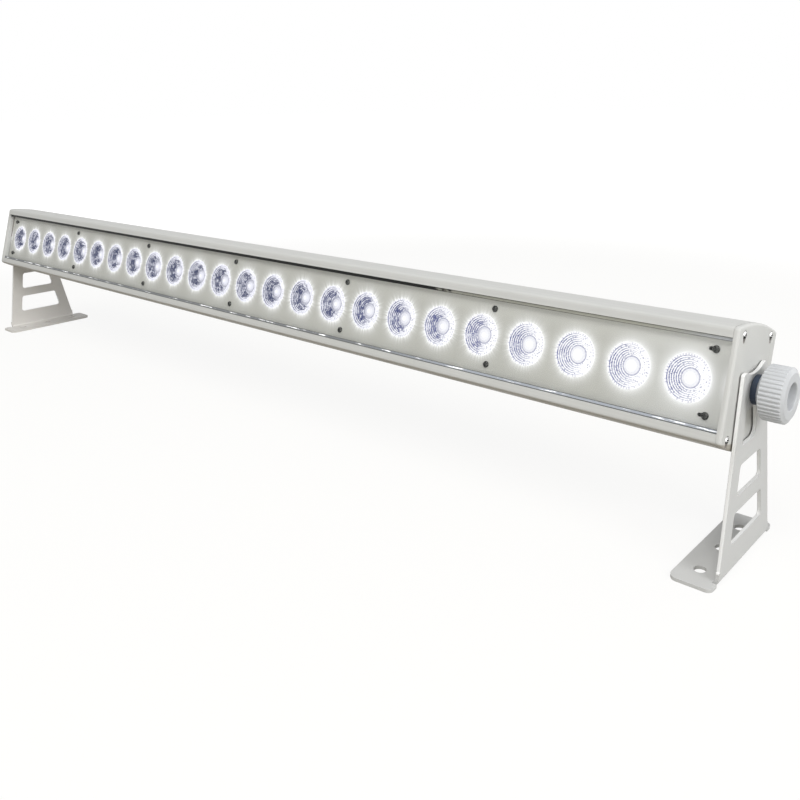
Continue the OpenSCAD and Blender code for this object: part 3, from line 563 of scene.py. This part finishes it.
def softCopy(node, width, finishName, body):
    # a merged copy of a CAD node whose sharp edges are rounded, which is shown in its place
    s = softSettings
    sharp = math.radians(s["sharpDegrees"])
    mesh = frame["nodes"][node].data.copy()
    mesh.name = node + "_soft"
    work = bmesh.new()
    work.from_mesh(mesh)
    bmesh.ops.remove_doubles(work, verts=work.verts, dist=s["merge"])
    bmesh.ops.dissolve_limit(work, angle_limit=math.radians(s["flatDegrees"]),
                             verts=work.verts, edges=work.edges)
    work.to_mesh(mesh)
    work.free()
    mesh.shade_smooth()
    mesh.set_sharp_from_angle(angle=sharp)
    piece = bpy.data.objects.new(node + "_soft", mesh)
    bpy.context.scene.collection.objects.link(piece)
    bevel = piece.modifiers.new("roundedEdges", "BEVEL")
    bevel.width, bevel.segments = width, s["segments"]
    bevel.limit_method, bevel.angle_limit = "ANGLE", sharp
    bevel.harden_normals = True
    dress(piece, finishName)
    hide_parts(node)
    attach(piece, body)


print("rounded copies")
softNodes = [
    ("housing", "housing", "body", "body_paint", "bar"),
    ("gland_nuts", "gland_nuts", "gland", "gland_nylon", "bar"),
    ("gland_bodies", "gland_bodies", "gland", "gland_nylon", "bar"),
    ("breather_plug", "breather_plug", "gland", "gland_nylon", "bar"),
]
for side in ("left", "right"):
    softNodes += [
        ("end_cap_" + side, "end_cap", "cap", "cap_paint", "bar"),
        ("bracket_" + side, "bracket", "bracketLeft" if side == "left" else "bracket",
         "bracket_paint", "bracket_" + side),
        ("knob_" + side, "knob", "knob", "knob_plastic", "knob_" + side),
        ("rubber_washer_" + side, "rubber_washer", "washer", "washer_rubber", "washer_" + side),
    ]
for node, kind, finishName, slotName, body in softNodes:
    softCopy(node, edgeSettings[kind], finishName, body)


# ---- lit optics

def gridMesh(name, points):
    # a sheet over a grid of points, rows by columns, joined round the columns
    rows, cols = points.shape[:2]
    index = np.arange(rows * cols).reshape(rows, cols)
    nextCol = np.roll(index, -1, axis=1)
    quads = np.stack([index[:-1], nextCol[:-1], nextCol[1:], index[1:]], axis=-1).reshape(-1, 4)
    mesh = bpy.data.meshes.new(name)
    mesh.from_pydata(points.reshape(-1, 3).tolist(), [], quads.tolist())
    return mesh


def opticProfile():
    # (radius, depth behind the face, kind) from the axis at the back out to the rim, over it,
    # down the terraces and across the groove and the domed core to the axis
    s = opticSettings
    tread = (s["outer"] - s["rim"] - s["well"]) / s["steps"]
    rows = [(radius, depth, "skirt") for radius, depth in s["back"]]
    rows += [(s["outer"], s["rimRound"], "skirt"), (s["outer"] - s["rimRound"], 0, "rim")]
    for step in range(s["steps"]):
        radius = s["outer"] - s["rim"] - step * tread
        top, foot = step * s["stepHeight"], (step + 1) * s["stepHeight"]
        rows += [(radius, top, "riser"), (radius - s["riserLean"], foot, "treadOuter"),
                 (radius - tread * s["treadMiddle"], foot, "treadInner")]
    floor = s["steps"] * s["stepHeight"]
    foot = floor + s["groove"]
    rows += [(s["well"], floor, "groove"), (s["well"] - s["wallLean"], foot, "groove"),
             (s["core"], foot, "groove"), (s["core"] - s["coreLean"], floor, "dome")]
    for a in np.radians(s["domeAngles"]):
        rows.append((s["core"] * math.cos(a), floor - s["dome"] * math.sin(a), "dome"))
    return rows


facetSettings = {
    "riser": 0.12, "riserLeft": 0.42, "dash": 0.45, "groove": 0.32, "tick": 0.16, "fleck": 0.30,
    "clusterReach": 13.0 * mm, "clusterFrom": 0.10, "clusterTo": 0.36, "bands": 6, "cells": 24,
    "gain": 1.7, "glints": 0.62, "glintFade": 0.75, "coreEdge": 0.10, "coreLeft": 0.45,
    "coreFade": ((1.0,), (0.8,), (0.35,)), "sideMiddle": 0.45, "sideLeft": 0.45, "sideLean": 0.9,
    "lobes": 5, "lobeSway": 0.9, "lobeFloor": 0.35, "clusterFade": 2.5 * mm,
    "mosaicOdds": 0.38, "mosaicFloor": 0.10, "brokenOdds": 0.3, "riserCluster": 0.9,
    # kind of tread, odds that a face has no fleck, weight of the cluster
    "treads": (("treadOuter", 0.84, 1.0), ("treadInner", 0.90, 0.85)),
    "shareMost": 0.97, "bend": 2.2,
}


def facetPattern(i, rows, rng):
    # the share of slate of each face: broken arcs on the risers, ticks on the rim, flecks on
    # the treads, and a mosaic of dark facets beside the core. The slate is painted shade, as
    # seen from the front right, so lenses further left have more of it.
    s, t = opticSettings, facetSettings
    theta = np.linspace(0, 2 * np.pi, s["sectors"], endpoint=False)
    kinds = np.array([r[2] for r in rows[:-1]])
    radius = np.array([r[0] for r in rows[:-1]])[:, None]
    fine = rng.random((len(kinds), s["sectors"]))
    pairs = rng.random((len(kinds), s["sectors"] // 2)).repeat(2, axis=1)
    phase = rng.uniform(0, 2 * np.pi)
    toLeft = 1 - i / (len(lensNodes) - 1)
    amount = np.clip((toLeft - t["clusterFrom"]) / (t["clusterTo"] - t["clusterFrom"]), 0, 1)
    leftward = np.clip(0.5 - 0.5 * np.cos(theta), 0, 1)
    side = np.clip(t["sideMiddle"] + t["sideLeft"] * toLeft - t["sideLean"] * np.cos(theta), 0, 1)
    lobes = 0.5 + 0.5 * np.cos(t["lobes"] * theta + phase + t["lobeSway"] * np.sin(2 * theta))
    lobes = t["lobeFloor"] + (1 - t["lobeFloor"]) * lobes
    inward = np.clip((t["clusterReach"] - radius) / t["clusterFade"], 0, 1) * (radius > s["core"])
    band = ((radius[:, 0] - s["core"]) / (s["outer"] - s["core"]) * t["bands"]).astype(int)
    mosaic = rng.random((t["bands"] + 1, t["cells"])).repeat(s["sectors"] // t["cells"], axis=1)
    mosaic = mosaic[np.clip(band, 0, t["bands"])] > t["mosaicOdds"]
    mosaic = mosaic * (1 - t["glintFade"] * (pairs > t["glints"]))
    mosaic = t["mosaicFloor"] + (1 - t["mosaicFloor"]) * mosaic
    cluster = amount * side * inward * lobes * mosaic * t["gain"]
    share = np.zeros((len(kinds), s["sectors"]))
    riser = kinds == "riser"
    dashes = fine > t["brokenOdds"]
    arcs = (t["riser"] + t["riserLeft"] * leftward) * (1 - t["dash"] + t["dash"] * dashes)
    share[riser] = (arcs + t["riserCluster"] * cluster)[riser]
    for kind, odds, weight in t["treads"]:
        share[kinds == kind] = (t["fleck"] * (fine > odds) + weight * cluster)[kinds == kind]
    share[kinds == "groove"] = t["groove"]
    dome = np.flatnonzero(kinds == "dome")[:len(t["coreFade"])]
    share[dome] = (t["coreEdge"] + t["coreLeft"] * amount * leftward) * np.array(t["coreFade"])
    ticks = np.arange(s["sectors"]) % 2 * dashes
    share[kinds == "rim"] = (t["tick"] * ticks)[kinds == "rim"]
    # the eye sees even steps, so the share is bent towards the dark
    return 1 - (1 - np.clip(share, 0, t["shareMost"])) ** t["bend"]


def optic(i):
    # the profile is turned about the lens axis; adding 0 * an array fills the whole grid
    s = opticSettings
    rows = opticProfile()
    radius = np.array([r[0] for r in rows])[:, None]
    depth = np.array([r[1] for r in rows])[:, None]
    angle = np.linspace(0, 2 * np.pi, s["sectors"], endpoint=False)[None, :] + 0 * radius
    points = np.stack([lensX[i] + radius * np.cos(angle), s["faceDepth"] + depth + 0 * angle,
                       radius * np.sin(angle)], axis=-1)
    mesh = gridMesh("optic_%02d" % (i + 1), fromBar(points))
    share = facetPattern(i, rows, np.random.default_rng(s["seed"] + i))
    facet = mesh.attributes.new("facet", "FLOAT", "FACE")
    facet.data.foreach_set("value", share.astype(np.float32).ravel())
    piece = bpy.data.objects.new(lensNodes[i] + "_optic", mesh)
    bpy.context.scene.collection.objects.link(piece)
    work = bmesh.new()
    work.from_mesh(mesh)
    rim = [e for e in work.edges if e.is_boundary]
    bmesh.ops.holes_fill(work, edges=rim, sides=0)
    bmesh.ops.recalc_face_normals(work, faces=work.faces)
    work.to_mesh(mesh)
    work.free()
    dress(piece, "optic")
    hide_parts(lensNodes[i])
    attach(piece, "bar")


print("optics")
for i in range(len(lensNodes)):
    optic(i)


# ---- stage, light and camera

stageSettings = {
    "floorSize": 30.0, "floorColour": (0.44, 0.425, 0.38, 1.0),
    "whiteStrength": 1.18, "fade": (0.75, 1.7, 0.75, 1.0), "white": (1, 1, 1, 1),
    "roomColour": (0.97, 0.985, 1.0, 1), "roomStrength": 0.40,
}


def seenWhite(f):
    # 1 where the ray comes from the camera, a mirror or a pane of glass
    rays = [f.node("ShaderNodeLightPath", output=name)
            for name in ("Is Camera Ray", "Is Glossy Ray", "Is Transmission Ray")]
    return (rays[0] + rays[1] + rays[2]).to("MINIMUM", 1.0)


def floorFinish():
    # pale floor that keeps the object's soft shadow and fades to pure white further out
    f = Finish("paleFloor")
    s = stageSettings
    reach = f.node("ShaderNodeVectorMath", {"operation": "LENGTH"}, {0: f.place()}, 1)
    share = seenWhite(f) * reach.ramp(*s["fade"])
    plain = f.node("ShaderNodeBsdfDiffuse", {}, {"Color": s["floorColour"]})
    glow = f.node("ShaderNodeEmission", {}, {"Color": s["white"], "Strength": s["whiteStrength"]})
    mixed = f.node("ShaderNodeMixShader", {}, {0: share, 1: plain, 2: glow})
    f.node("ShaderNodeOutputMaterial", {}, {"Surface": mixed})
    return f.material


def makeFloor():
    half = stageSettings["floorSize"] / 2
    low = cadBounds[0][2]
    mesh = bpy.data.meshes.new("floor")
    corners = [(-half, -half, low), (half, -half, low), (half, half, low), (-half, half, low)]
    mesh.from_pydata(corners, [], [(0, 1, 2, 3)])
    mesh.materials.append(floorFinish())
    floor = bpy.data.objects.new("floor", mesh)
    bpy.context.scene.collection.objects.link(floor)


def makeWorld():
    # an even pale room, seen as white
    s = stageSettings
    f = Finish("room", bpy.data.worlds.new("room"))
    bpy.context.scene.world = f.material
    lit = f.node("ShaderNodeBackground", {},
                 {"Color": s["roomColour"], "Strength": s["roomStrength"]})
    white = f.node("ShaderNodeBackground", {}, {"Color": s["white"], "Strength": 1.0})
    mixed = f.node("ShaderNodeMixShader", {}, {0: seenWhite(f), 1: lit, 2: white})
    f.node("ShaderNodeOutputWorld", {}, {"Surface": mixed})


lampSettings = [
    # name, place, target, size, power, colour
    ("softTop", (0.55, -1.25, 2.35), (0.1, 0.0, 0.1), 1.8, 36.5, (1.0, 0.995, 0.98)),
    ("sideFill", (2.6, -0.5, 1.1), (0.4, 0.0, 0.1), 1.1, 30.0, (0.98, 0.99, 1.0)),
    ("frontFill", (1.3, -2.4, 1.2), (0.3, 0.0, 0.1), 1.6, 2.0, (0.98, 0.99, 1.0)),
    ("backFill", (1.5, 2.3, 0.8), (0.0, 0.0, 0.1), 1.6, 10.0, (0.99, 0.995, 1.0)),
    ("footFill", (0.5, -1.1, 0.3), (-0.5, 0.0, 0.05), 0.5, 1.1, (1.0, 0.96, 0.90)),
]


def makeLamps():
    for name, place, target, size, power, colour in lampSettings:
        data = bpy.data.lights.new(name, "AREA")
        data.shape, data.size = "SQUARE", size
        data.energy, data.color = power, colour
        lamp = bpy.data.objects.new(name, data)
        lamp.location = place
        aim = Vector(target) - Vector(place)
        lamp.rotation_euler = aim.to_track_quat("-Z", "Y").to_euler()
        bpy.context.scene.collection.objects.link(lamp)


cameraSettings = {
    "place": (0.675569, -0.460473, 0.289692), "yaw": 38.0588, "pitch": 14.4935, "roll": -0.8852,
    "focalPixels": 813.473, "centreX": 508.478, "centreY": 309.072, "frame": 800,
    "sensor": 36.0, "nearest": 0.02, "furthest": 100,
}


def makeCamera():
    # yaw turns the view from +Y towards -X, pitch looks down, roll leans the frame
    s = cameraSettings
    yaw, pitch, roll = (math.radians(s[k]) for k in ("yaw", "pitch", "roll"))
    forward = Vector((-math.sin(yaw) * math.cos(pitch), math.cos(yaw) * math.cos(pitch),
                      -math.sin(pitch)))
    level = Vector((math.cos(yaw), math.sin(yaw), 0))
    upright = level.cross(forward)
    right = math.cos(roll) * level + math.sin(roll) * upright
    up = -math.sin(roll) * level + math.cos(roll) * upright
    data = bpy.data.cameras.new("camera")
    data.sensor_width = s["sensor"]
    data.lens = s["focalPixels"] / s["frame"] * data.sensor_width
    data.shift_x = 0.5 - s["centreX"] / s["frame"]
    data.shift_y = s["centreY"] / s["frame"] - 0.5
    data.clip_start, data.clip_end = s["nearest"], s["furthest"]
    camera = bpy.data.objects.new("camera", data)
    turn = Matrix((right, up, -forward)).transposed()
    camera.matrix_world = Matrix.Translation(s["place"]) @ turn.to_4x4()
    bpy.context.scene.collection.objects.link(camera)
    bpy.context.scene.camera = camera


print("stage")
makeFloor()
makeWorld()
makeLamps()
makeCamera()
bpy.context.scene.view_settings.view_transform = "Standard"
